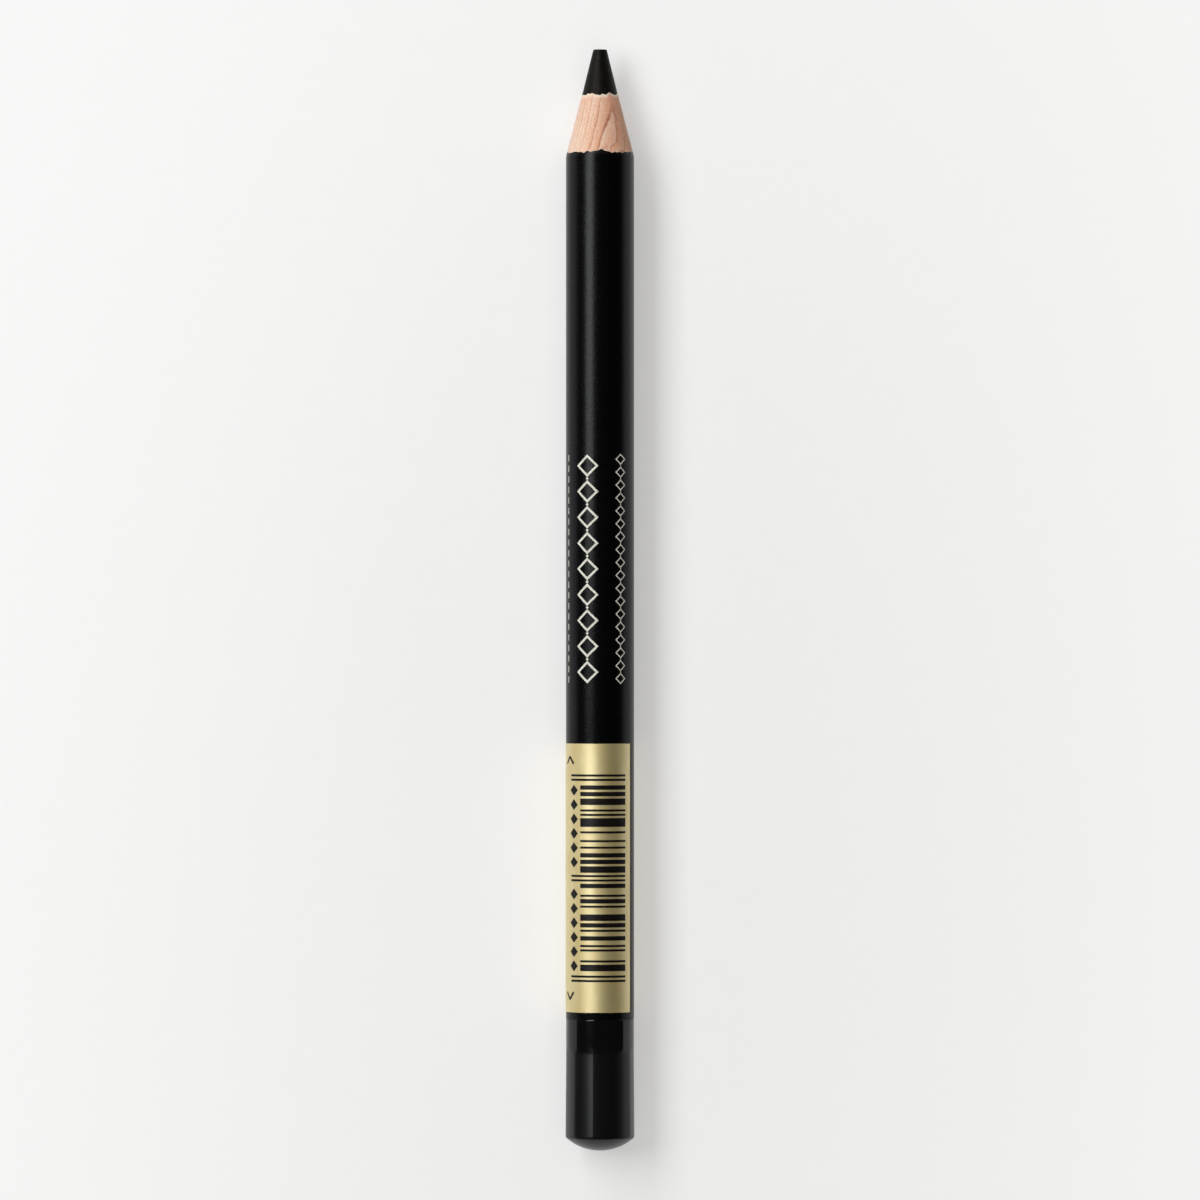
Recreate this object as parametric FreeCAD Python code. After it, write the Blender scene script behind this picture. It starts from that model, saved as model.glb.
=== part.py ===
import FreeCAD, Part
import math
import os

# A wood-cased eyeliner pencil, sharpened, lying on its side along Y with its tip toward +Y.
# Millimetres, +Z up. The origin is on the surface that the pencil lies on, under the middle of its length.
# Angles round the pencil's axis are in degrees from straight up toward +X.

# Barrel
OVERALL_LENGTH = 126.0
BARREL_DIAMETER = 7.8
LACQUER_THICKNESS = 0.13

# Core
CORE_DIAMETER = 4.1
TIP_FLAT_DIAMETER = 1.56
TIP_EDGE_RADIUS = 0.1

# Sharpened cone: half-angles of the soft core and of the wood behind it
CORE_HALF_ANGLE = 13.9
WOOD_HALF_ANGLE = 14.5

# Wrap-round label
LABEL_LENGTH = 30.7
LABEL_THICKNESS = 0.05
LABEL_TO_PLUG = 0.8
LABEL_GAP_START = 60.0
LABEL_GAP_ANGLE = 40.0

# End plug: a round collar, then facets with a narrow land of the turned surface between them, then a dome
PLUG_LENGTH = 15.1
COLLAR_LENGTH = 3.0
FACET_COUNT = 10
FIRST_RIDGE_ANGLE = -12.0
FACET_LAND = 0.16
GRIP_FLARE = 0.08
FACET_RUNOUT_RADIUS = 3.2
DOME_RADIUS = 5.85
DOME_EDGE_RADIUS = 0.5
SHOULDER_CHAMFER = 0.08

# Spigot that holds the plug in the casing
SPIGOT_LENGTH = 6.0
SPIGOT_CLEARANCE = 0.06
SPIGOT_CHAMFER = 0.4

# How far a cutting form reaches past what it cuts, and how near two places count as the same
OVERCUT = 1.0
SAME_PLACE = 0.01

CENTRE = FreeCAD.Vector(0, 0, 0)
AXIS = FreeCAD.Vector(0, 1, 0)

barrel_radius = BARREL_DIAMETER / 2
wood_radius = barrel_radius - LACQUER_THICKNESS
core_radius = CORE_DIAMETER / 2
tip_radius = TIP_FLAT_DIAMETER / 2
label_radius = barrel_radius + LABEL_THICKNESS
spigot_radius = core_radius - SPIGOT_CLEARANCE
grip_radius = barrel_radius + GRIP_FLARE
blank_radius = grip_radius + OVERCUT

tip_y = OVERALL_LENGTH / 2
rear_y = -OVERALL_LENGTH / 2
shoulder_y = rear_y + PLUG_LENGTH
spigot_y = shoulder_y + SPIGOT_LENGTH
label_y = shoulder_y + LABEL_TO_PLUG
core_base_y = tip_y - (core_radius - tip_radius) / math.tan(math.radians(CORE_HALF_ANGLE))
blank_y = core_base_y - (blank_radius - core_radius) / math.tan(math.radians(WOOD_HALF_ANGLE))


def around(radius, angle, y):
    """The point at a radius, an angle and a place along the pencil's axis."""
    turn = math.radians(angle)
    return FreeCAD.Vector(radius * math.sin(turn), y, radius * math.cos(turn))


def arc_around(radius, start, end, y):
    """An arc round the axis, from one angle to another."""
    middle = (start + end) / 2
    return Part.Arc(around(radius, start, y), around(radius, middle, y), around(radius, end, y)).toShape()


def rod(radius, start, end):
    """A round rod on the axis between two places."""
    return Part.makeCylinder(radius, end - start, FreeCAD.Vector(0, start, 0), AXIS)


def taper(start_radius, end_radius, start, end):
    """A cone on the axis between two places."""
    return Part.makeCone(start_radius, end_radius, end - start, FreeCAD.Vector(0, start, 0), AXIS)


def trough(inner, outer, angles, start, end):
    """A part of a tube: between two radii, two angles round the axis and two places along it."""
    edges = [arc_around(radius, angles[0], angles[1], start) for radius in (inner, outer)]
    edges += [Part.makeLine(around(inner, angle, start), around(outer, angle, start)) for angle in angles]
    section = Part.Face(Part.Wire(Part.__sortEdges__(edges)))
    return section.extrude(FreeCAD.Vector(0, end - start, 0))


def sharpened_form():
    """All that the sharpener leaves: a straight blank, the wood's cone and the core's blunt point."""
    blank = rod(blank_radius, rear_y, blank_y)
    wood_cone = taper(blank_radius, core_radius, blank_y, core_base_y)
    point = taper(core_radius, tip_radius, core_base_y, tip_y)
    rim = [edge for edge in point.Edges if edge.BoundBox.YMin > tip_y - SAME_PLACE]
    point = point.makeFillet(TIP_EDGE_RADIUS, rim)
    return blank.fuse([wood_cone, point])


def kohl_core():
    return rod(core_radius, spigot_y, tip_y + OVERCUT).common(sharpened_form())


def wood_slat(middle_angle):
    """One grooved half of the casing. The halves meet on the level plane through the axis."""
    angles = (middle_angle - 90, middle_angle + 90)
    return trough(core_radius, wood_radius, angles, shoulder_y, tip_y).common(sharpened_form())


def lacquer_coat():
    tube = rod(barrel_radius, shoulder_y, tip_y).cut(rod(wood_radius, shoulder_y, tip_y))
    return tube.common(sharpened_form())


def foil_label():
    """A thin sheet wrapped round the barrel that stops short of meeting itself."""
    angles = (LABEL_GAP_START + LABEL_GAP_ANGLE, LABEL_GAP_START + 360)
    return trough(barrel_radius, label_radius, angles, label_y, label_y + LABEL_LENGTH)


def facet_floor(radius):
    """How far from the axis a facet's floor lies where the turned surface has this radius."""
    half_land = FACET_LAND / 2 / barrel_radius
    return radius * math.cos(math.pi / FACET_COUNT - half_land)


def grip_y():
    """Where the facets' straight floors begin, behind the collar and the arched run-out."""
    depth = barrel_radius - facet_floor(barrel_radius)
    runout = math.sqrt(depth * (2 * FACET_RUNOUT_RADIUS - depth))
    return shoulder_y - COLLAR_LENGTH - runout


def turned_plug():
    """The plug before its facets: spigot, collar, slightly flared grip and dome, turned as one form."""
    dome_y = rear_y + DOME_RADIUS - math.sqrt(DOME_RADIUS ** 2 - grip_radius ** 2)
    corners = [
        FreeCAD.Vector(radius, y, 0)
        for radius, y in (
            (0, rear_y),
            (0, spigot_y),
            (spigot_radius - SPIGOT_CHAMFER, spigot_y),
            (spigot_radius, spigot_y - SPIGOT_CHAMFER),
            (spigot_radius, shoulder_y),
            (barrel_radius - SHOULDER_CHAMFER, shoulder_y),
            (barrel_radius, shoulder_y - SHOULDER_CHAMFER),
            (barrel_radius, grip_y()),
            (grip_radius, dome_y),
        )
    ]
    edges = [Part.makeLine(first, second) for first, second in zip(corners, corners[1:])]
    half_sweep = math.asin(grip_radius / DOME_RADIUS) / 2
    rise = DOME_RADIUS * (1 - math.cos(half_sweep))
    dome_middle = FreeCAD.Vector(DOME_RADIUS * math.sin(half_sweep), rear_y + rise, 0)
    edges.append(Part.Arc(corners[-1], dome_middle, corners[0]).toShape())
    plug = Part.Face(Part.Wire(edges)).revolve(CENTRE, AXIS, 360)
    rim = [edge for edge in plug.Edges if abs(edge.BoundBox.YMax - dome_y) < SAME_PLACE]
    return plug.makeFillet(DOME_EDGE_RADIUS, rim)


def facet_cutter():
    """What one facet takes away, facing straight up: a floor that curves out of the plug at its front."""
    front_y = grip_y()
    back_y = rear_y - OVERCUT
    flare = GRIP_FLARE / (front_y - rear_y)
    front_floor = facet_floor(barrel_radius)
    back_floor = facet_floor(barrel_radius + flare * (front_y - back_y))
    top = grip_radius + OVERCUT
    sweep = math.acos(1 - (top - front_floor) / FACET_RUNOUT_RADIUS)

    def at(height, y):
        return FreeCAD.Vector(-blank_radius, y, height)

    def on_runout(angle):
        rise = FACET_RUNOUT_RADIUS * (1 - math.cos(angle))
        return at(front_floor + rise, front_y + FACET_RUNOUT_RADIUS * math.sin(angle))

    outline = Part.Wire([
        Part.Arc(at(front_floor, front_y), on_runout(sweep / 2), on_runout(sweep)).toShape(),
        Part.makeLine(on_runout(sweep), at(top, back_y)),
        Part.makeLine(at(top, back_y), at(back_floor, back_y)),
        Part.makeLine(at(back_floor, back_y), at(front_floor, front_y)),
    ])
    return Part.Face(outline).extrude(FreeCAD.Vector(2 * blank_radius, 0, 0))


def end_plug():
    """The faceted end piece, glued into the core's channel by its spigot."""
    plug = turned_plug()
    step = 360.0 / FACET_COUNT
    for index in range(FACET_COUNT):
        cutter = facet_cutter()
        cutter.rotate(CENTRE, AXIS, FIRST_RIDGE_ANGLE + (index + 0.5) * step)
        plug = plug.cut(cutter)
    return plug


def write_piece(name, shape):
    """Lifts a piece so that the pencil lies on the ground and writes it as one solid."""
    solid = shape.Solids[0]
    solid.translate(FreeCAD.Vector(0, 0, label_radius))
    solid.exportStep("parts/" + name + ".step")
    print(name, len(shape.Solids), "solid", round(solid.Volume, 2), "mm3")


os.makedirs("parts", exist_ok=True)
write_piece("kohl_core", kohl_core())
write_piece("wood_slat_upper", wood_slat(0))
write_piece("wood_slat_lower", wood_slat(180))
write_piece("lacquer_coat", lacquer_coat())
write_piece("foil_label", foil_label())
write_piece("end_plug", end_plug())
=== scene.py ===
import math
import bmesh
import bpy
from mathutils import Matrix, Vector, noise


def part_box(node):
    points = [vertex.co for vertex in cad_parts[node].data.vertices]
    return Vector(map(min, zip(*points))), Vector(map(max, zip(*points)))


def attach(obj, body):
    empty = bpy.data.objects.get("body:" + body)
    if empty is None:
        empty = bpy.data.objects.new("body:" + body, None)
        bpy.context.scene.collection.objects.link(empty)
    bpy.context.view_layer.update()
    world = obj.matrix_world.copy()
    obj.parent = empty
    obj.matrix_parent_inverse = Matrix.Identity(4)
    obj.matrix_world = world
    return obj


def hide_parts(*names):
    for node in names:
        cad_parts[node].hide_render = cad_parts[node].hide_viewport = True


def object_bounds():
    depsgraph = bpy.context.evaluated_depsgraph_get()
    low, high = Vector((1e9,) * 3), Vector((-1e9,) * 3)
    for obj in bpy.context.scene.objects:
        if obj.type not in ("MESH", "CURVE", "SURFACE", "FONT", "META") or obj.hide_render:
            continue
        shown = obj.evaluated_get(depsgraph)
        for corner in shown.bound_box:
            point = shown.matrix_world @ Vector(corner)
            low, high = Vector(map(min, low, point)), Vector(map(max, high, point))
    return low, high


# The looks of a wood-cased eyeliner pencil that lies on its side along Y, with its tip toward +Y.
# Metres. Angles round the pencil's axis are in degrees from straight up toward +X.

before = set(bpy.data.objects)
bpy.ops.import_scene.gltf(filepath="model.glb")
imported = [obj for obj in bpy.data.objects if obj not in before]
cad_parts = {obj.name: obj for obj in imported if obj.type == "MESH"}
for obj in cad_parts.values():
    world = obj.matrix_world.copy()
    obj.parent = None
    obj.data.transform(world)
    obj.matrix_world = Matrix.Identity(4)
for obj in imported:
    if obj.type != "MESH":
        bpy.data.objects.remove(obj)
cad_low, cad_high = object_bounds()

MM = 0.001

# Places and sizes that the solids give
core_low, core_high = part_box("kohl_core")
wood_low, wood_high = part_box("wood_slat_upper")
coat_low, coat_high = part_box("lacquer_coat")
label_low, label_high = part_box("foil_label")
plug_low, plug_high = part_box("end_plug")

AXIS_Z = (coat_low.z + coat_high.z) / 2
CORE_RADIUS = core_high.x
WOOD_RADIUS = wood_high.x
BARREL_RADIUS = coat_high.x
LABEL_RADIUS = AXIS_Z - label_low.z
TIP_Y = core_high.y
CORE_REAR_Y = core_low.y
CORE_BASE_Y = wood_high.y
COAT_FRONT_Y = coat_high.y
SHOULDER_Y = coat_low.y
REAR_Y = plug_low.y

# Sharpened cone
WOOD_SLOPE = (WOOD_RADIUS - CORE_RADIUS) / (CORE_BASE_Y - COAT_FRONT_Y)
TIP_RADIUS = 0.78 * MM
CORE_SLOPE = (CORE_RADIUS - TIP_RADIUS) / (TIP_Y - CORE_BASE_Y)
TIP_EDGE_RADIUS = 0.1 * MM

# Growth rings in the timber, in millimetres and degrees: how they lie, and the even rings of the far side
RING_TURN = 60.8
RING_TURN_PER_MM = -4.0
RING_LEAN_PER_MM = -0.2235
FAR_RING_START = -50.0
FAR_RING_WIDTH = 0.62
FAR_RING_STRENGTH = 0.75

# The rings that show on the cone, as (depth, width, strength), and the depths that they lie between
RING_LOW = -1.62
RING_HIGH = 1.6
RINGS = (
    (-1.12, 0.42, 0.9),
    (-0.68, 0.34, 0.55),
    (-0.24, 0.40, 0.7),
    (0.10, 0.20, 0.35),
    (0.49, 0.34, 1.0),
    (0.97, 0.52, 1.0),
    (1.09, 0.07, 0.7),
)

# A swelling in the timber that pushes the rings aside, in millimetres: its place, its reach and its depth
SWELL_FROM_TIP = 12.2
SWELL_X = 2.0
SWELL_REACH = (1.45, 1.85, 1.45)
SWELL_DEPTH = 0.46

# Label and its print
LABEL_GAP = (60.0, 100.0)
INK_THICKNESS = 0.008 * MM
CODE_MARGIN = 3.5 * MM
BAR_ANGLES = (-35.0, 47.0)
GUARD_BAR_START = -56.0
MARK_ANGLE = -49.0
MARK_COUNT = 6
MARK_HALF_TURN = 9.0
MARK_HALF_LENGTH = 0.62 * MM
MARK_GAP_MODULES = 4
ARROW_ANGLE = -60.0
ARROW_SIZE = 1.4 * MM
ARROW_STROKE = 0.28 * MM
ARROW_FROM_END = 1.9 * MM

# The label's stripes, which are made up: the widths of bars and gaps in turn, in modules
STRIPES = (
    1, 1, 1,
    2, 3, 1, 1, 4, 1, 1, 1, 2, 2, 2, 1, 1, 2, 1, 3, 3, 1, 1, 2, 1, 1, 3, 2,
    1, 1, 1, 1, 1,
    3, 1, 2, 1, 2, 2, 1, 2, 1, 3, 1, 2, 4, 1, 1, 1, 1, 2, 3, 1, 2, 1, 2, 2,
    1, 1, 1,
)

# Ornament on the barrel, where a row of lozenges is (angle, half turn, count, stroke)
ORNAMENT_FROM_TIP = 46.2 * MM
ORNAMENT_LENGTH = 26.5 * MM
LOZENGE_ROWS = ((-22.0, 17.0, 9, 0.25 * MM), (37.0, 9.0, 18, 0.13 * MM))
LOZENGE_REACH = 0.38
SEED_TURN = 0.15
SEED_LENGTH = 0.17
DASH_ANGLE = -66.0
DASH_COUNT = 22
DASH_REACH = 0.3
DASH_STROKE = 0.14 * MM

# End plug
SPIGOT_CLEARANCE = 0.06 * MM
SPIGOT_CHAMFER = 0.4 * MM
COLLAR_LENGTH = 3.0 * MM
FACET_COUNT = 10
FACET_CROWN = 0.6
RIDGE_BLEND = 0.06 * MM
FIRST_RIDGE_ANGLE = -12.0
RUNOUT_RADIUS = 3.2 * MM
GRIP_RADIUS = plug_high.x / math.cos(math.radians(6.0))
DOME_RADIUS = 5.85 * MM
DOME_EDGE_RADIUS = 0.5 * MM

# Rounded edges where lacquer and plug meet, in millimetres, as (how far in, how far from the joint)
JOINT_EDGE = ((0.05, 0.0), (0.012, 0.03), (0.0, 0.09))

# Fineness of the meshes: steps round the pencil and round the label
ROUND_STEPS = 480
LABEL_STEPS = 160

# Floor
FLOOR_REACH = 6.0
FLOOR_GAP = 0.01 * MM

# Backdrop that the floor turns into: where, in millimetres, how lengthwise distance counts, its least share
BACKDROP_FROM = 20.0
BACKDROP_FULL = 110.0
BACKDROP_STRETCH = 0.45
BACKDROP_LEAST = 0.42
BACKDROP_COLOUR = (0.955, 0.955, 0.95, 1.0)

# Room: its colour, and the heights, as sines, between which the pale band along its horizon fades
ROOM_COLOUR = (0.035, 0.035, 0.035, 1.0)
HORIZON_BAND = (0.02, 0.12)

# Camera: its lens and sensor in millimetres, and the picture's height over the pencil's length
LENS = 300.0
SENSOR_WIDTH = 36.0
PICTURE_SHARE = 1.09


def point(radius, angle, y):
    """The point at a radius, an angle and a place along the pencil's axis."""
    turn = math.radians(angle)
    return Vector((radius * math.sin(turn), y, AXIS_Z + radius * math.cos(turn)))


def steps(start, end, count):
    """Evenly spaced values from start to end, both included."""
    return [start + (end - start) * index / count for index in range(count + 1)]


def object_from(name, bm, material, slot, *nodes, crease=35.0):
    """Makes a piece from a bmesh: it stands for its CAD nodes and rides on the pencil."""
    mesh = bpy.data.meshes.new(name)
    bmesh.ops.recalc_face_normals(bm, faces=bm.faces)
    bm.to_mesh(mesh)
    bm.free()
    mesh.shade_smooth()
    mesh.set_sharp_from_angle(angle=math.radians(crease))
    piece = bpy.data.objects.new(name, mesh)
    bpy.context.scene.collection.objects.link(piece)
    piece.data.materials.append(material)
    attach(piece, "root")
    if nodes:
        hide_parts(*nodes)
    return piece


def skin(bm, rings, closed=False):
    """Joins closed rings of points with faces, and caps the first and last unless they join up as well."""
    count = len(rings[0])
    turns = len(rings) if closed else len(rings) - 1
    for index in range(turns):
        first, second = rings[index], rings[(index + 1) % len(rings)]
        for place in range(count):
            after = (place + 1) % count
            bm.faces.new((first[place], first[after], second[after], second[place]))
    if not closed:
        bm.faces.new(rings[0])
        bm.faces.new(list(reversed(rings[-1])))


def swept(angles, outline, closed):
    """Carries a closed outline of (radius, y) round the axis. The outline may change with the angle."""
    bm = bmesh.new()
    rings = [[bm.verts.new(point(radius, angle, y)) for radius, y in outline(angle)] for angle in angles]
    skin(bm, rings, closed)
    bmesh.ops.remove_doubles(bm, verts=bm.verts, dist=1e-7)
    bmesh.ops.dissolve_degenerate(bm, edges=bm.edges, dist=1e-8)
    return bm


def wander(angle, lumps, seed):
    """A smooth random value, about -1 to 1, with about this many lumps in a turn that closes on itself."""
    turn = math.radians(angle)
    place = Vector((math.sin(turn), math.cos(turn), 0)) * lumps / (2 * math.pi)
    return noise.noise(place + Vector((0, 0, seed)))


def cone_radius(y):
    """The sharpened cone's radius at a place along the axis."""
    if y > CORE_BASE_Y:
        return TIP_RADIUS + (TIP_Y - y) * CORE_SLOPE
    return CORE_RADIUS + (CORE_BASE_Y - y) * WOOD_SLOPE


def bump_at(angle, middle, width):
    """A single rounded bump, 1 at its middle angle and 0 beyond its width."""
    share = abs((angle - middle + 180) % 360 - 180) / width
    return 0.0 if share >= 1 else (1 - share * share) ** 2


def core_edge(angle):
    """Where the soft core gives way to wood: a line that the blade has torn a little."""
    waves = 0.20 * wander(angle, 9, 1.3) + 0.17 * wander(angle, 27, 4.7) + 0.05 * wander(angle, 60, 2.9)
    fibres = 0.20 * max(0.0, wander(angle, 48, 8.1) - 0.1)
    return CORE_BASE_Y + (waves + fibres - 0.02) * MM


def coat_edge(angle):
    """Where the wood meets the lacquer: mostly level, with small chips and one larger tongue."""
    waves = 0.16 * wander(angle, 9, 2.2) + 0.13 * wander(angle, 33, 5.9) + 0.07 * wander(angle, 80, 6.4)
    chips = 0.34 * max(0.0, wander(angle, 52, 3.6) - 0.2)
    tongue = 0.24 * bump_at(angle, 2, 9)
    return COAT_FRONT_Y + (waves - chips + tongue - 0.03) * MM


def round_angles(count):
    """Evenly spaced angles all the way round."""
    return [-90.0 + 360.0 * index / count for index in range(count)]


def joint_edge(way):
    """The rounded edge beside the joint of lacquer and plug, on its +Y or -Y side, as (radius, y)."""
    return [(BARREL_RADIUS - inward * MM, SHOULDER_Y + way * away * MM) for inward, away in JOINT_EDGE]


def core_outline(angle):
    """The core from its rear end to its blunt point, with faint lengthwise scrapes on the point."""
    base = core_edge(angle)
    clearance = 0.004 * MM
    body = cone_radius(base) - clearance
    sunk = 0.012 * MM
    scrape = 0.010 * MM * wander(angle, 34, 9.5) + 0.006 * MM * wander(angle, 90, 2.5)
    shoulder_y = TIP_Y - 1.1 * TIP_EDGE_RADIUS
    outline = [(0, CORE_REAR_Y), (body, CORE_REAR_Y), (body, base - 0.1 * MM)]
    for y in steps(base, shoulder_y, 14):
        fade = min(1.0, (y - base) / (0.5 * MM))
        outline.append((cone_radius(y) - sunk + scrape * fade, y))
    rim = cone_radius(shoulder_y) - sunk + scrape
    soft = TIP_EDGE_RADIUS * (1.0 + 0.35 * wander(angle, 6, 7.7))
    for turn in (20, 40, 60, 80):
        lean = math.radians(turn)
        outline.append((rim - soft * (1 - math.cos(lean)), shoulder_y + TIP_EDGE_RADIUS * math.sin(lean)))
    outline.append((rim * 0.55, TIP_Y - 0.012 * MM))
    outline.append((0, TIP_Y - 0.006 * MM))
    return outline


def slat_outline(angle):
    """One casing half: groove, torn rim beside the core, sharpened face and the round under the lacquer."""
    top = core_edge(angle)
    bottom = coat_edge(angle)
    lift = (0.022 + 0.016 * wander(angle, 60, 1.9)) * MM
    lifted_share = 0.08
    outline = [(cone_radius(top), SHOULDER_Y), (cone_radius(top), top - 0.04 * MM)]
    for share in (0.0, 0.008, 0.02, 0.04, lifted_share):
        y = top + (bottom - top) * share
        outline.append((cone_radius(y) + lift * (1 - share / lifted_share), y))
    for y in steps(top + (bottom - top) * 0.14, bottom + 0.16 * MM, 12):
        outline.append((cone_radius(y), y))
    for above in (0.10, 0.05, 0.0):
        outline.append((cone_radius(bottom), bottom + above * MM))
    outline.append((cone_radius(bottom), SHOULDER_Y))
    return outline


def coat_outline(angle):
    """The lacquer: a thin tube whose front is cut on the slant and lifts slightly where it is chipped."""
    edge = coat_edge(angle)
    inside = cone_radius(edge)
    cut_y = CORE_BASE_Y - (BARREL_RADIUS - CORE_RADIUS) / WOOD_SLOPE + 0.05 * MM * wander(angle, 28, 3.1)
    lip = 0.014 * MM
    middle_y = (edge + cut_y) / 2
    outline = [
        (inside, SHOULDER_Y),
        (inside, edge - 0.03 * MM),
        (inside + lip * 0.4, edge),
        (inside + lip * 1.4, edge - 0.02 * MM),
        ((inside + BARREL_RADIUS) / 2 + lip, middle_y),
        (BARREL_RADIUS - 0.012 * MM, cut_y - 0.01 * MM),
        (BARREL_RADIUS - 0.003 * MM, cut_y - 0.07 * MM),
        (BARREL_RADIUS, cut_y - 0.2 * MM),
    ]
    return outline + joint_edge(1)[::-1]


def label_outline(angle):
    """The label's sheet, with softly cut ends. It is the same at every angle."""
    face = LABEL_RADIUS - INK_THICKNESS
    soft = 0.006 * MM
    return [
        (BARREL_RADIUS, label_low.y),
        (face - soft, label_low.y),
        (face, label_low.y + soft),
        (face, label_high.y - soft),
        (face - soft, label_high.y),
        (BARREL_RADIUS, label_high.y),
    ]


def smaller(first, second, blend):
    """The smaller of two lengths, with the corner between them rounded over a blend."""
    near = max(blend - abs(first - second), 0.0) / blend
    return min(first, second) - near * near * blend / 4


def grip_front():
    """Where the facets' straight floors begin, behind the collar and the arched run-out."""
    depth = BARREL_RADIUS * (1 - math.cos(math.pi / FACET_COUNT))
    return SHOULDER_Y - COLLAR_LENGTH - math.sqrt(depth * (2 * RUNOUT_RADIUS - depth))


def facet_floor(y):
    """How far from the axis a facet lies: a slightly flared plane that curves outward at its front."""
    front_y = grip_front()
    flare = (GRIP_RADIUS - BARREL_RADIUS) / (front_y - REAR_Y)
    floor = (BARREL_RADIUS + flare * max(0.0, front_y - y)) * math.cos(math.pi / FACET_COUNT)
    ahead = min(max(0.0, y - front_y), RUNOUT_RADIUS)
    return floor + RUNOUT_RADIUS - math.sqrt(RUNOUT_RADIUS ** 2 - ahead ** 2)


def turned_places():
    """The plug's outside before its facets, as (radius, y) from the shoulder to the apex of the dome."""
    places = joint_edge(-1)
    front_y = grip_front()
    collar_y = SHOULDER_Y - 0.12 * MM
    arches_y = front_y + 1.6 * MM
    places += [(BARREL_RADIUS, y) for y in steps(collar_y, arches_y, 5)]
    places += [(BARREL_RADIUS, y) for y in steps(arches_y - 0.05 * MM, front_y, 36)]
    centre_y = REAR_Y + DOME_RADIUS
    inner_dome = DOME_RADIUS - DOME_EDGE_RADIUS
    edge_radius = GRIP_RADIUS - DOME_EDGE_RADIUS
    edge_y = centre_y - math.sqrt(inner_dome ** 2 - edge_radius ** 2)
    for y in steps(front_y, edge_y, 10)[1:]:
        share = (front_y - y) / (front_y - edge_y)
        places.append((BARREL_RADIUS + share * (GRIP_RADIUS - BARREL_RADIUS), y))
    lean = math.asin(edge_radius / inner_dome)
    for turn in steps(math.pi / 2, lean, 10)[1:]:
        radius = edge_radius + DOME_EDGE_RADIUS * math.sin(turn)
        places.append((radius, edge_y - DOME_EDGE_RADIUS * math.cos(turn)))
    for turn in steps(lean, 0.0, 16)[1:]:
        places.append((DOME_RADIUS * math.sin(turn), centre_y - DOME_RADIUS * math.cos(turn)))
    return places


def plug_outline(angle):
    """The plug from its spigot to its dome, cut back to the facets, which are a little crowned."""
    step = 360.0 / FACET_COUNT
    from_middle = (angle - FIRST_RIDGE_ANGLE) % step - step / 2
    spread = math.cos(math.radians(from_middle))
    front = plug_high.y
    spigot = CORE_RADIUS - SPIGOT_CLEARANCE
    outline = [
        (0, front),
        (spigot - SPIGOT_CHAMFER, front),
        (spigot, front - SPIGOT_CHAMFER),
        (spigot, SHOULDER_Y),
    ]
    for radius, y in turned_places():
        flat = facet_floor(y) / spread
        crown = FACET_CROWN * (facet_floor(y) / math.cos(math.pi / FACET_COUNT) - flat)
        outline.append((smaller(radius, flat + crown, RIDGE_BLEND), y))
    return outline


def plug_angles():
    """Angles round the plug, close together beside each ridge and wider apart on the facets."""
    step = 360.0 / FACET_COUNT
    half_steps = 12
    gather = 1.9
    angles = []
    for index in range(FACET_COUNT):
        ridge = FIRST_RIDGE_ANGLE + index * step
        for place in range(-half_steps, half_steps):
            share = place / half_steps
            angles.append(ridge + step / 2 * math.copysign(abs(share) ** gather, share))
    return angles


def ink_patch(bm, angle, half_turn, y, half_length, high=LABEL_RADIUS, pointed=False):
    """A thin solid patch of ink, bent round the pencil: a rectangle, or a lozenge if pointed."""
    low = high - INK_THICKNESS
    rings = []
    for share in steps(-1.0, 1.0, max(4, round(half_turn / 1.5))):
        rise = half_length * (1.02 - abs(share) if pointed else 1.0)
        places = ((low, y - rise), (high, y - rise), (high, y + rise), (low, y + rise))
        rings.append([bm.verts.new(point(radius, angle + share * half_turn, at)) for radius, at in places])
    skin(bm, rings)


def ink_stroke(bm, start, end, width, high):
    """A thin stroke of ink between two places, each (angle, y), bent round the pencil below a radius."""
    low = high - INK_THICKNESS
    reach = Vector((math.radians(end[0] - start[0]) * high, end[1] - start[1]))
    side = Vector((-reach.y, reach.x)).normalized() * width / 2
    turn = math.degrees(side.x / high)
    rings = []
    for share in steps(0.0, 1.0, 6):
        angle = start[0] + (end[0] - start[0]) * share
        y = start[1] + (end[1] - start[1]) * share
        corners = ((low, -1), (high, -1), (high, 0), (high, 1), (low, 1))
        places = [point(radius, angle + turn * way, y + side.y * way) for radius, way in corners]
        rings.append([bm.verts.new(place) for place in places])
    skin(bm, rings)


def lozenge(bm, angle, half_turn, y, half_length, width, high):
    """An open lozenge of ink with mitred corners, bent round the pencil below a radius."""
    low = high - INK_THICKNESS
    half_width = math.radians(half_turn) * high
    to_side = half_width * half_length / math.hypot(half_width, half_length)
    corners = ((0, 1), (1, 0), (0, -1), (-1, 0))
    rings = []
    for (turn, rise), (next_turn, next_rise) in zip(corners, corners[1:] + corners[:1]):
        for share in steps(0.0, 1.0, 5)[:-1]:
            ring = []
            for radius, way in ((low, -1), (high, -1), (high, 0), (high, 1), (low, 1)):
                scale = 1 + way * width / 2 / to_side
                at_angle = angle + half_turn * scale * (turn + (next_turn - turn) * share)
                at_y = y + half_length * scale * (rise + (next_rise - rise) * share)
                ring.append(bm.verts.new(point(radius, at_angle, at_y)))
            rings.append(ring)
    skin(bm, rings, closed=True)


def chevron(bm, angle, y, size, width, high):
    """A small arrow head of ink that points along the pencil, made of two slanting strokes."""
    half_angle = math.degrees(size / 2 / high)
    for side in (-1, 1):
        ink_stroke(bm, (angle, y + size * 0.3), (angle + side * half_angle, y - size * 0.3), width, high)


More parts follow.
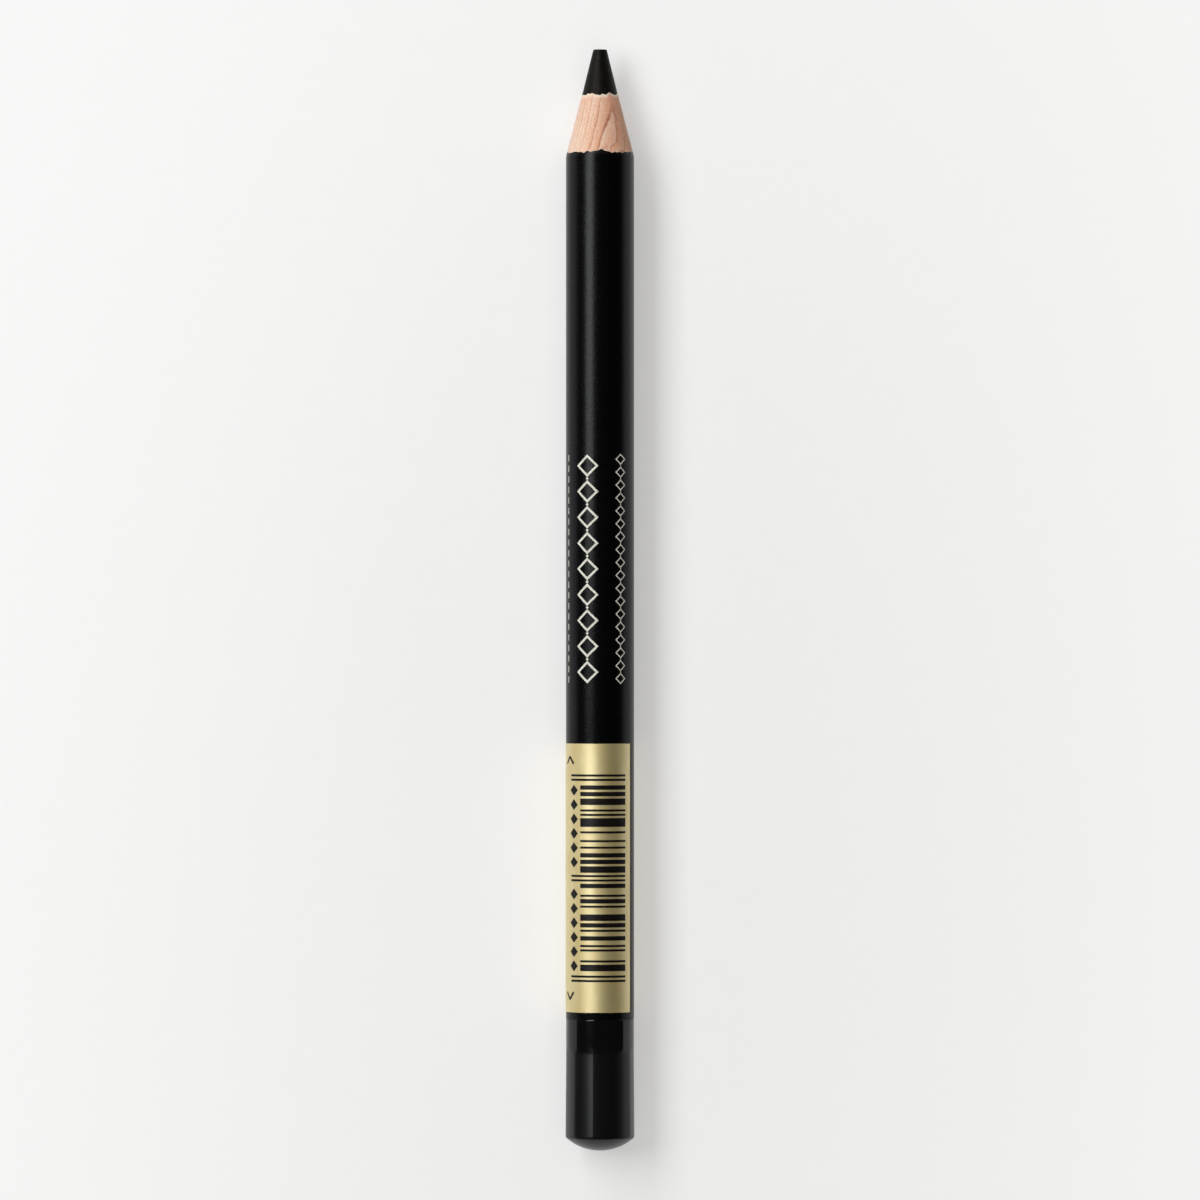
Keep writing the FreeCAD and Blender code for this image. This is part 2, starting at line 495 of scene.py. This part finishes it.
def srgb(red, green, blue):
    """A colour from screen values, 0 to 255, as the linear colour that shaders take."""
    def linear(value):
        share = value / 255
        return share / 12.92 if share <= 0.04045 else ((share + 0.055) / 1.055) ** 2.4
    return (linear(red), linear(green), linear(blue), 1.0)


class Finish:
    """A material in the making, with places on the pencil given in millimetres."""

    def __init__(self, name, **sockets):
        self.material = bpy.data.materials.new(name)
        self.material.use_nodes = True
        self.nodes = self.material.node_tree.nodes
        self.links = self.material.node_tree.links
        self.shader = self.nodes["Principled BSDF"]
        for socket, value in sockets.items():
            self.shader.inputs[socket.replace("_", " ")].default_value = value
        coordinates = self.node("ShaderNodeTexCoord")
        self.place = self.vector("SCALE", coordinates.outputs["Object"], Scale=1000.0)

    def node(self, kind, inputs=None, **settings):
        made = self.nodes.new(kind)
        for name, value in settings.items():
            setattr(made, name, value)
        for name, value in (inputs or {}).items():
            self.feed(made.inputs[name], value)
        return made

    def feed(self, socket, value):
        if isinstance(value, bpy.types.NodeSocket):
            self.links.new(value, socket)
        else:
            socket.default_value = value

    def vector(self, operation, first, second=None, **inputs):
        made = self.node("ShaderNodeVectorMath", inputs, operation=operation)
        self.feed(made.inputs[0], first)
        if second is not None:
            self.feed(made.inputs[1], second)
        return made.outputs["Value" if operation == "LENGTH" else "Vector"]

    def maths(self, operation, first, second=0.0, clamp=False):
        made = self.node("ShaderNodeMath", operation=operation, use_clamp=clamp)
        self.feed(made.inputs[0], first)
        self.feed(made.inputs[1], second)
        return made.outputs[0]

    def remap(self, value, low, high, out_low=0.0, out_high=1.0):
        """The value, taken from one range to another and held at its ends."""
        inputs = {"Value": value, "From Min": low, "From Max": high, "To Min": out_low, "To Max": out_high}
        return self.node("ShaderNodeMapRange", inputs).outputs["Result"]

    def noise(self, per_mm, detail, rough, seed):
        """Noise with this many cells per millimetre along X, Y and Z."""
        scaled = self.vector("MULTIPLY", self.place, per_mm)
        moved = self.vector("ADD", scaled, (seed, seed * 0.7, seed * 1.3))
        inputs = {"Vector": moved, "Scale": 1.0, "Detail": detail, "Roughness": rough}
        return self.node("ShaderNodeTexNoise", inputs).outputs["Fac"]

    def mix(self, share, first, second):
        """The first colour, turned toward the second by a share."""
        made = self.node("ShaderNodeMix", data_type="RGBA")
        self.feed(made.inputs[0], share)
        self.feed(made.inputs[6], first)
        self.feed(made.inputs[7], second)
        return made.outputs[2]

    def ramp(self, value, *stops):
        """The colour at a value between 0 and 1, from stops of (position, colour)."""
        made = self.node("ShaderNodeValToRGB", {"Fac": value})
        elements = made.color_ramp.elements
        while len(elements) < len(stops):
            elements.new(0.5)
        for element, (position, colour) in zip(elements, stops):
            element.position = position
            element.color = colour
        return made.outputs["Color"]

    def bump(self, height, depth, onto=None):
        """Raises the surface by the height times a depth, onto another bump if one is given."""
        inputs = {"Height": height, "Distance": depth, "Strength": 1.0}
        if onto is not None:
            inputs["Normal"] = onto
        return self.node("ShaderNodeBump", inputs).outputs["Normal"]

    def set(self, socket, value):
        self.links.new(value, self.shader.inputs[socket])


def kohl_material():
    """Soft black wax: warm near-black, with pale lengthwise scrapes from the blade and a waxy grain."""
    finish = Finish("kohl", Specular_IOR_Level=0.16, Specular_Tint=(1.0, 0.94, 0.82, 1.0))
    scrapes = finish.noise((9.0, 0.35, 9.0), detail=3.0, rough=0.6, seed=3.0)
    fine = finish.noise((26.0, 0.8, 26.0), detail=2.0, rough=0.6, seed=8.0)
    grain = finish.noise((14.0, 14.0, 14.0), detail=3.0, rough=0.6, seed=5.0)
    streak = finish.maths("ADD", finish.maths("MULTIPLY", scrapes, 0.6), finish.maths("MULTIPLY", fine, 0.4))
    share = finish.remap(streak, 0.38, 0.66)
    black = finish.ramp(share, (0.0, srgb(1, 1, 1)), (0.55, srgb(5, 4, 3)), (1.0, srgb(31, 29, 24)))
    finish.set("Base Color", black)
    finish.set("Roughness", finish.remap(grain, 0.3, 0.7, 0.44, 0.60))
    low = finish.bump(streak, 0.026 * MM)
    finish.set("Normal", finish.bump(grain, 0.003 * MM, onto=low))
    return finish.material


def swelling(finish):
    """1 at the heart of the swelling, just under the cone's surface, and 0 beyond its reach."""
    y = TIP_Y / MM - SWELL_FROM_TIP
    radius = cone_radius(y * MM) / MM
    heart = Vector((SWELL_X, y, AXIS_Z / MM + math.sqrt(radius ** 2 - SWELL_X ** 2)))
    shares = Vector([1 / reach for reach in SWELL_REACH])
    near = finish.vector("MULTIPLY", finish.vector("SUBTRACT", finish.place, heart), shares)
    square = finish.maths("POWER", finish.vector("LENGTH", near), 2.0)
    fade = finish.maths("SUBTRACT", 1.0, square, clamp=True)
    return finish.maths("MULTIPLY", fade, fade)


def ring_depth(finish):
    """How deep in the timber a place lies. Along the pencil the timber leans, turns and sways a little."""
    centred = finish.vector("SUBTRACT", finish.place, (0.0, 0.0, AXIS_Z / MM))
    along = finish.node("ShaderNodeSeparateXYZ", {"Vector": centred}).outputs["Y"]
    from_tip = finish.maths("SUBTRACT", TIP_Y / MM, along)
    turn = finish.maths("MULTIPLY", from_tip, -math.radians(RING_TURN_PER_MM))
    turn = finish.maths("SUBTRACT", turn, math.radians(RING_TURN))
    inputs = {"Vector": centred, "Angle": turn}
    turned = finish.node("ShaderNodeVectorRotate", inputs, rotation_type="Y_AXIS").outputs["Vector"]
    across = finish.node("ShaderNodeSeparateXYZ", {"Vector": turned}).outputs["Z"]
    depth = finish.maths("ADD", across, finish.maths("MULTIPLY", from_tip, RING_LEAN_PER_MM))
    sway = finish.noise((0.5, 0.2, 0.5), detail=2.0, rough=0.5, seed=11.0)
    ripple = finish.noise((2.5, 0.7, 2.5), detail=2.0, rough=0.5, seed=17.0)
    depth = finish.maths("ADD", depth, finish.remap(sway, 0.2, 0.8, -0.08, 0.08))
    depth = finish.maths("SUBTRACT", depth, finish.maths("MULTIPLY", swelling(finish), SWELL_DEPTH))
    return finish.maths("ADD", depth, finish.remap(ripple, 0.2, 0.8, -0.025, 0.025))


def ring_bands(finish, depth, before, after):
    """Bands that rise to each growth ring's end over a share of the ring and stop just after it."""
    span = RING_HIGH - RING_LOW
    stops = []
    for place, width, strength in RINGS:
        for at, level in ((place - before * width, 0.0), (place, strength), (place + after, 0.0)):
            stops.append(((at - RING_LOW) / span, (level, level, level, 1.0)))
    shown = finish.ramp(finish.remap(depth, RING_LOW, RING_HIGH), *stops)
    from_start = finish.maths("SUBTRACT", depth, FAR_RING_START)
    cycle = finish.maths("FRACT", finish.maths("MULTIPLY", from_start, 1 / FAR_RING_WIDTH))
    none = (0.0, 0.0, 0.0, 1.0)
    full = (FAR_RING_STRENGTH, FAR_RING_STRENGTH, FAR_RING_STRENGTH, 1.0)
    far = finish.ramp(cycle, (1.0 - before, none), (1.0 - after / FAR_RING_WIDTH, full), (1.0, none))
    return finish.mix(finish.maths("LESS_THAN", depth, RING_LOW), shown, far)


def timber_colour_with_painted_shade_and_sheen(finish, late, fibres, flecks):
    """Peach wood, deeper toward each ring's end, mottled, with painted shade, deeper orange, on the +X side
    away from the strip lamp, and a painted pale sheen on the -X side toward it.
    """
    mottle = finish.noise((4.6, 2.6, 4.6), detail=3.0, rough=0.65, seed=51.0)
    pores = finish.noise((13.0, 7.5, 13.0), detail=2.0, rough=0.6, seed=37.0)
    cloud = finish.noise((0.7, 0.25, 0.7), detail=2.0, rough=0.5, seed=41.0)
    across = finish.node("ShaderNodeSeparateXYZ", {"Vector": finish.place}).outputs["X"]
    base = finish.ramp(finish.remap(cloud, 0.3, 0.7), (0.0, srgb(237, 208, 186)), (1.0, srgb(230, 192, 166)))
    layers = (
        (late, 0.0, 1.0, 0.68, srgb(216, 138, 98)),
        (mottle, 0.46, 0.66, 0.38, srgb(226, 160, 126)),
        (mottle, 0.48, 0.34, 0.32, srgb(248, 226, 204)),
        (fibres, 0.44, 0.66, 0.34, srgb(206, 146, 112)),
        (flecks, 0.52, 0.66, 0.34, srgb(208, 140, 104)),
        (pores, 0.55, 0.70, 0.3, srgb(250, 230, 210)),
        # Painted shade: the +X side, turned away from the strip lamp, is painted deeper orange.
        (across, 0.6, 2.0, 0.28, srgb(206, 122, 82)),
        # Painted sheen: the -X side, turned toward the strip lamp, is painted paler.
        (across, -1.4, -3.2, 0.40, srgb(238, 220, 204)),
    )
    for value, low, high, most, colour in layers:
        base = finish.mix(finish.remap(value, low, high, 0.0, most), base, colour)
    return base


def wood_material():
    """Pale peach wood, whose slanting growth rings the cone cuts into long lines and a V."""
    finish = Finish("casing_wood", Specular_IOR_Level=0.2, Sheen_Weight=0.12, Sheen_Roughness=0.45)
    depth = ring_depth(finish)
    late = ring_bands(finish, depth, 0.85, 0.012)
    line = ring_bands(finish, depth, 0.12, 0.03)
    strength = finish.noise((0.9, 0.35, 0.9), detail=2.0, rough=0.5, seed=23.0)
    fibres = finish.noise((12.0, 1.0, 12.0), detail=3.0, rough=0.6, seed=29.0)
    flecks = finish.noise((10.0, 6.0, 10.0), detail=2.0, rough=0.6, seed=31.0)
    dark = finish.maths("MULTIPLY", line, finish.remap(strength, 0.35, 0.65, 0.45, 1.0))
    dark = finish.maths("MULTIPLY", dark, 0.8)
    base = finish.mix(dark, timber_colour_with_painted_shade_and_sheen(finish, late, fibres, flecks), srgb(146, 80, 54))
    rim = finish.node("ShaderNodeAttribute", attribute_name="rim").outputs["Fac"]
    torn = finish.mix(finish.remap(fibres, 0.35, 0.65), srgb(250, 238, 222), srgb(232, 208, 184))
    finish.set("Base Color", finish.mix(rim, base, torn))
    finish.set("Roughness", finish.remap(fibres, 0.3, 0.7, 0.72, 0.56))
    low = finish.bump(dark, -0.025 * MM, onto=finish.bump(fibres, 0.012 * MM))
    finish.set("Normal", finish.bump(flecks, 0.008 * MM, onto=low))
    return finish.material


def lacquer_material():
    """Satin black lacquer, with the faint orange peel and sparkle that its highlight shows."""
    finish = Finish("black_lacquer", Specular_IOR_Level=0.17)
    split = finish.node("ShaderNodeSeparateXYZ", {"Vector": finish.place})
    cut = finish.remap(split.outputs["Y"], COAT_FRONT_Y / MM - 0.42, COAT_FRONT_Y / MM - 0.1)
    speckle = finish.noise((7.0, 7.0, 7.0), detail=2.0, rough=0.6, seed=2.0)
    black = finish.ramp(speckle, (0.35, srgb(2, 2, 3)), (0.7, srgb(5, 5, 7)))
    finish.set("Base Color", finish.mix(cut, black, srgb(22, 15, 12)))
    peel = finish.noise((2.2, 1.3, 2.2), detail=2.0, rough=0.5, seed=4.0)
    finish.set("Roughness", finish.remap(speckle, 0.3, 0.7, 0.235, 0.315))
    low = finish.bump(peel, 0.01 * MM)
    finish.set("Normal", finish.bump(speckle, 0.002 * MM, onto=low))
    return finish.material


def foil_material():
    """Pale gold metallised paper with a fine tooth and soft unevenness in its shine."""
    finish = Finish("gold_foil", Metallic=0.92, Coat_Weight=1.0, Coat_Roughness=0.44, Coat_IOR=2.05)
    tooth = finish.noise((9.0, 9.0, 9.0), detail=3.0, rough=0.6, seed=6.0)
    cloud = finish.noise((0.8, 0.3, 0.8), detail=2.0, rough=0.5, seed=12.0)
    finish.set("Base Color", finish.ramp(cloud, (0.3, srgb(240, 223, 162)), (0.7, srgb(233, 211, 142))))
    finish.set("Roughness", finish.remap(cloud, 0.3, 0.7, 0.58, 0.64))
    finish.set("Normal", finish.bump(tooth, 0.004 * MM))
    return finish.material


def ink_material():
    """Printed black: flat, slightly glossy, a little thinner in places."""
    finish = Finish("ink", Specular_IOR_Level=0.22)
    wear = finish.noise((6.0, 6.0, 6.0), detail=3.0, rough=0.6, seed=9.0)
    finish.set("Base Color", finish.ramp(wear, (0.4, srgb(9, 7, 6)), (0.75, srgb(26, 20, 15))))
    finish.set("Roughness", finish.remap(wear, 0.3, 0.7, 0.34, 0.5))
    return finish.material


def pale_ink_material():
    """Cream print on the lacquer, slightly uneven where it is thin."""
    finish = Finish("pale_ink", Specular_IOR_Level=0.3)
    wear = finish.noise((5.0, 5.0, 5.0), detail=3.0, rough=0.6, seed=14.0)
    finish.set("Base Color", finish.ramp(wear, (0.35, srgb(232, 229, 218)), (0.75, srgb(196, 192, 180))))
    finish.set("Roughness", finish.remap(wear, 0.3, 0.7, 0.42, 0.55))
    return finish.material


def plug_material():
    """Glossy black moulded plastic with faint swirls from its mould."""
    finish = Finish("glossy_black_plastic", Specular_IOR_Level=0.34)
    swirl = finish.noise((0.9, 0.35, 0.9), detail=2.0, rough=0.5, seed=13.0)
    grain = finish.noise((12.0, 12.0, 12.0), detail=2.0, rough=0.5, seed=19.0)
    finish.set("Base Color", finish.ramp(grain, (0.35, srgb(6, 6, 7)), (0.7, srgb(13, 13, 15))))
    along = finish.node("ShaderNodeSeparateXYZ", {"Vector": finish.place}).outputs["Y"]
    collar_end = (SHOULDER_Y - COLLAR_LENGTH) / MM
    satin = finish.remap(along, collar_end - 0.9, collar_end - 0.1, 0.3, 0.08)
    finish.set("Roughness", finish.maths("ADD", satin, finish.remap(grain, 0.3, 0.7, -0.01, 0.01)))
    low = finish.bump(swirl, 0.007 * MM)
    finish.set("Normal", finish.bump(grain, 0.0002 * MM, onto=low))
    return finish.material


def mark_rims(piece):
    """Marks where a casing half is near its torn front or the lacquer, because fibres are paler there."""
    values = []
    for vertex in piece.data.vertices:
        angle = math.degrees(math.atan2(vertex.co.x, vertex.co.z - AXIS_Z))
        from_top = (core_edge(angle) - vertex.co.y) / MM
        from_coat = abs(vertex.co.y - coat_edge(angle)) / MM
        front_reach = 0.34 + 0.16 * wander(angle, 30, 6.6)
        rear_reach = 0.09
        front = max(0.0, 1.0 - from_top / front_reach) ** 0.6
        rear = 0.7 * max(0.0, 1.0 - from_coat / rear_reach)
        values.append(max(front, rear))
    attribute = piece.data.attributes.new("rim", "FLOAT", "POINT")
    attribute.data.foreach_set("value", values)


def make_core(material):
    bm = swept(round_angles(ROUND_STEPS), core_outline, True)
    return object_from("kohl_point", bm, material, "kohl", "kohl_core")


def make_slat(side, middle_angle, material):
    angles = steps(middle_angle - 90.0, middle_angle + 90.0, ROUND_STEPS // 2)
    bm = swept(angles, slat_outline, False)
    piece = object_from("casing_half_" + side, bm, material, "casing_wood", "wood_slat_" + side)
    mark_rims(piece)
    return piece


def make_coat(material):
    bm = swept(round_angles(ROUND_STEPS), coat_outline, True)
    return object_from("lacquer_skin", bm, material, "black_lacquer", "lacquer_coat")


def make_label(material):
    start, end = LABEL_GAP
    bm = swept(steps(end, start + 360.0, LABEL_STEPS), label_outline, False)
    return object_from("label_sheet", bm, material, "gold_foil", "foil_label")


def make_label_print(material):
    """Stripes, the guard bars among them longer, beside small solid lozenges and two arrow heads."""
    bm = bmesh.new()
    module = (label_high.y - label_low.y - 2 * CODE_MARGIN) / sum(STRIPES)
    y = label_low.y + CODE_MARGIN
    middle = len(STRIPES) // 2
    guards = (0, 2, middle - 1, middle + 1, len(STRIPES) - 3, len(STRIPES) - 1)
    for index, width in enumerate(STRIPES):
        if index % 2 == 0:
            start = GUARD_BAR_START if index in guards else BAR_ANGLES[0]
            half_turn = (BAR_ANGLES[1] - start) / 2
            ink_patch(bm, start + half_turn, half_turn, y + width * module / 2, width * module / 2)
        y += width * module
    half = (label_high.y - label_low.y) / 2 - CODE_MARGIN - 2 * MARK_GAP_MODULES * module
    for side in (-1, 1):
        for index in range(MARK_COUNT):
            away = MARK_GAP_MODULES * module + half * (index + 0.5) / MARK_COUNT
            y = (label_low.y + label_high.y) / 2 + side * away
            ink_patch(bm, MARK_ANGLE, MARK_HALF_TURN, y, MARK_HALF_LENGTH, pointed=True)
    chevron(bm, ARROW_ANGLE, label_high.y - ARROW_FROM_END, ARROW_SIZE, ARROW_STROKE, LABEL_RADIUS)
    chevron(bm, ARROW_ANGLE, label_low.y + ARROW_FROM_END, -ARROW_SIZE, ARROW_STROKE, LABEL_RADIUS)
    return object_from("label_print", bm, material, "gold_foil")


def ornament_places(count):
    """The distance between the middles of this many even places along the ornament, and the middles."""
    pitch = ORNAMENT_LENGTH / count
    return pitch, [TIP_Y - ORNAMENT_FROM_TIP - (index + 0.5) * pitch for index in range(count)]


def lozenge_row(bm, angle, half_turn, count, width, high):
    """A row of open lozenges along the barrel with a small solid one, a seed, between each two."""
    pitch, places = ornament_places(count)
    reach = pitch * LOZENGE_REACH
    for index, y in enumerate(places):
        lozenge(bm, angle, half_turn, y, reach, width, high)
        if index > 0:
            seed_y = y + pitch / 2
            ink_patch(bm, angle, half_turn * SEED_TURN, seed_y, reach * SEED_LENGTH, high, pointed=True)


def make_barrel_print(material):
    """A plain ornament: a row of lozenges, with a finer row and a row of dashes beside it."""
    bm = bmesh.new()
    high = BARREL_RADIUS + INK_THICKNESS
    for row in LOZENGE_ROWS:
        lozenge_row(bm, *row, high)
    pitch, places = ornament_places(DASH_COUNT)
    reach = pitch * DASH_REACH
    for y in places:
        ink_stroke(bm, (DASH_ANGLE, y - reach), (DASH_ANGLE, y + reach), DASH_STROKE, high)
    return object_from("barrel_print", bm, material, "black_lacquer")


def make_plug(material):
    bm = swept(plug_angles(), plug_outline, True)
    return object_from("faceted_plug", bm, material, "glossy_black_plastic", "end_plug", crease=60.0)


def make_floor():
    """A plain pale floor that takes the pencil's shadow and turns into an even pale backdrop further off."""
    bm = bmesh.new()
    bmesh.ops.create_grid(bm, x_segments=1, y_segments=1, size=FLOOR_REACH)
    mesh = bpy.data.meshes.new("floor")
    bm.to_mesh(mesh)
    bm.free()
    floor = bpy.data.objects.new("floor", mesh)
    bpy.context.scene.collection.objects.link(floor)
    floor.location.z = cad_low.z - FLOOR_GAP
    finish = Finish("floor", Roughness=0.85, Specular_IOR_Level=0.1)
    paper = finish.noise((0.5, 0.5, 0.5), detail=3.0, rough=0.6, seed=1.0)
    finish.set("Base Color", finish.ramp(paper, (0.3, srgb(247, 247, 246)), (0.7, srgb(249, 249, 248))))
    narrowed = finish.vector("MULTIPLY", finish.place, (1.0, BACKDROP_STRETCH, 1.0))
    away = finish.remap(finish.vector("LENGTH", narrowed), BACKDROP_FROM, BACKDROP_FULL, BACKDROP_LEAST)
    share = finish.maths("MULTIPLY", away, seen_as_backdrop(finish))
    backdrop = finish.node("ShaderNodeEmission", {"Color": BACKDROP_COLOUR, "Strength": 1.0})
    blend = finish.node("ShaderNodeMixShader", {"Fac": share})
    finish.links.new(finish.shader.outputs["BSDF"], blend.inputs[1])
    finish.links.new(backdrop.outputs["Emission"], blend.inputs[2])
    finish.links.new(blend.outputs["Shader"], finish.nodes["Material Output"].inputs["Surface"])
    mesh.materials.append(finish.material)


def seen_as_backdrop(finish):
    """1 for rays that show the backdrop, seen straight or in gloss or glass, and 0 for those that light."""
    path = finish.node("ShaderNodeLightPath")
    gloss = finish.maths("MAXIMUM", path.outputs["Is Glossy Ray"], path.outputs["Is Transmission Ray"])
    return finish.maths("MAXIMUM", path.outputs["Is Camera Ray"], gloss)


def add_lamp(name, angle, distance, width, start_y, end_y, radiance):
    """A softbox that runs along the pencil at an angle round it, out of the camera's sight."""
    data = bpy.data.lights.new(name, "AREA")
    data.shape = "RECTANGLE"
    data.size = width
    data.size_y = end_y - start_y
    data.energy = radiance * math.pi * data.size * data.size_y
    lamp = bpy.data.objects.new(name, data)
    bpy.context.scene.collection.objects.link(lamp)
    lamp.location = point(distance, angle, (start_y + end_y) / 2)
    lamp.rotation_euler = (0, math.radians(angle), 0)
    lamp.visible_camera = False
    return lamp


def make_lamps():
    """A long bright strip high on the left and a fill that leaves no highlight."""
    strip = add_lamp("strip", angle=-36.0, distance=0.72, width=0.3, start_y=-0.045, end_y=1.1, radiance=6.9)
    strip.data.color = (0.97, 0.99, 1.0)
    fill = add_lamp("fill", angle=4.0, distance=1.5, width=1.4, start_y=-1.5, end_y=1.0, radiance=0.76)
    fill.data.color = (1.0, 0.96, 0.91)
    fill.visible_glossy = False


def make_world():
    """A dim room with a pale band along its horizon. The camera sees it pale all over."""
    world = bpy.data.worlds.new("studio")
    world.use_nodes = True
    nodes, links = world.node_tree.nodes, world.node_tree.links
    coordinates = nodes.new("ShaderNodeTexCoord")
    split = nodes.new("ShaderNodeSeparateXYZ")
    band = nodes.new("ShaderNodeMapRange")
    path = nodes.new("ShaderNodeLightPath")
    pale = nodes.new("ShaderNodeMath")
    pale.operation = "MAXIMUM"
    colour = nodes.new("ShaderNodeMix")
    colour.data_type = "RGBA"
    band.inputs["From Min"].default_value = HORIZON_BAND[1]
    band.inputs["From Max"].default_value = HORIZON_BAND[0]
    colour.inputs[6].default_value = ROOM_COLOUR
    colour.inputs[7].default_value = BACKDROP_COLOUR
    links.new(coordinates.outputs["Generated"], split.inputs["Vector"])
    links.new(split.outputs["Z"], band.inputs["Value"])
    links.new(band.outputs["Result"], pale.inputs[0])
    links.new(path.outputs["Is Camera Ray"], pale.inputs[1])
    links.new(pale.outputs["Value"], colour.inputs["Factor"])
    links.new(colour.outputs[2], nodes["Background"].inputs["Color"])
    bpy.context.scene.world = world


def make_camera():
    """Looks straight down on the pencil through a long lens, with the tip at the top of the picture."""
    data = bpy.data.cameras.new("camera")
    data.type = "PERSP"
    data.sensor_width = SENSOR_WIDTH
    data.lens = LENS
    shown = PICTURE_SHARE * (cad_high.y - cad_low.y)
    camera = bpy.data.objects.new("camera", data)
    bpy.context.scene.collection.objects.link(camera)
    distance = shown / 2 * data.lens / (data.sensor_width / 2)
    camera.location = ((cad_low.x + cad_high.x) / 2, (cad_low.y + cad_high.y) / 2, AXIS_Z + distance)
    camera.rotation_euler = (0, 0, 0)
    data.clip_start = 0.01
    data.clip_end = 20.0
    bpy.context.scene.camera = camera


casing = wood_material()
make_core(kohl_material())
make_slat("upper", 0.0, casing)
make_slat("lower", 180.0, casing)
make_coat(lacquer_material())
make_label(foil_material())
make_label_print(ink_material())
make_barrel_print(pale_ink_material())
make_plug(plug_material())
make_floor()
make_world()
make_lamps()
make_camera()

bpy.context.scene.view_settings.view_transform = "Standard"
